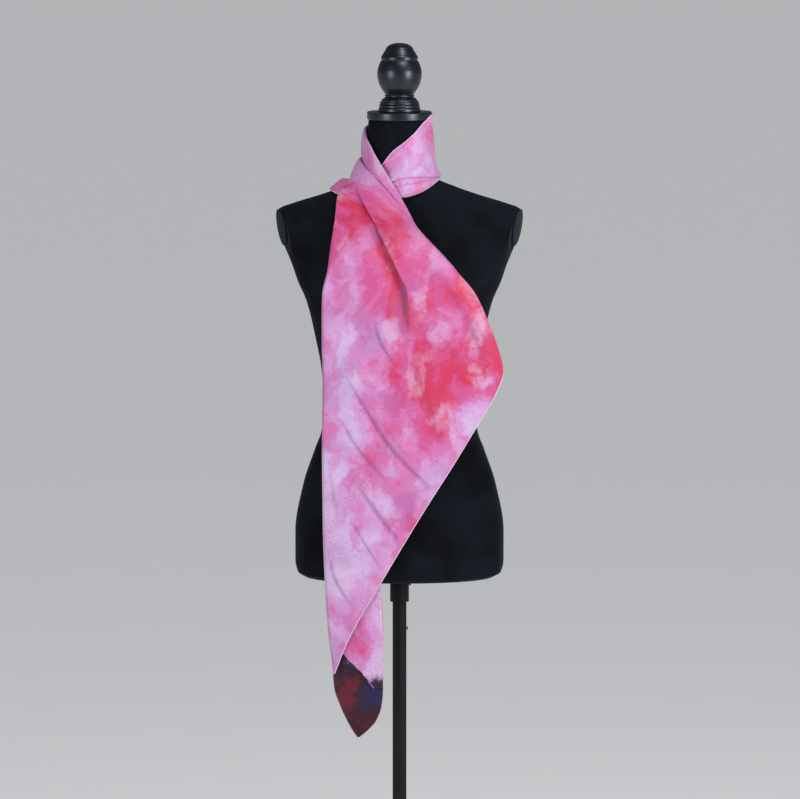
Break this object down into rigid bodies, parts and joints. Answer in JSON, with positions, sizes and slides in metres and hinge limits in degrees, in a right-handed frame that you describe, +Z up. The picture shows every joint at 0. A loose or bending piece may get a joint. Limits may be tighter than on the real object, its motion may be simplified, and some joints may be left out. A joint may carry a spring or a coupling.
{
  "type": "silk square scarf on a limbless dress form with a pole stand",
  "caption": "Thin silk square scarf wound once round the neck of a black limbless dress form, with one long folded tail hanging in front; the form slides on a pole stand.",
  "frame": {"origin": "on the floor, at the middle of the base plate's underside, under the pole", "axes": "+Z up along the pole; -Y is the front, where the scarf hangs; +X is the right side seen from the front"},
  "size_m": [0.3942, 0.34, 1.5434],
  "materials": {
    "silk": "washed pink, magenta and crimson silk with a soft sheen and a pale rolled hem",
    "velvet": "black short-pile velvet, stretched smooth",
    "black_satin": "turned wood with a black satin lacquer",
    "painted_steel": "black satin powder coat",
    "bright_steel": "dulled steel"
  },
  "bodies": {
    "stand": {"base_plate": "painted_steel", "base_socket": "painted_steel", "pole": "painted_steel", "snap_button": "bright_steel"},
    "dressed_form": {"clamp_collar": "painted_steel", "clamp_screw": "painted_steel", "form_body": "velvet", "arm_plate_left": "velvet", "arm_plate_right": "velvet", "neck_cap": "black_satin", "finial": "black_satin", "scarf_front": "silk", "scarf_return": "silk", "scarf_inner": "silk", "scarf_back": "silk", "scarf_collar": "silk", "scarf_lower_fold": "silk", "scarf_end": "silk"}
  },
  "joints": [
    {"name": "height_slide", "type": "slide", "parent": "stand", "child": "dressed_form", "axis": [0, 0, 1], "range_m": [-0.035, 0.25]}
  ]
}
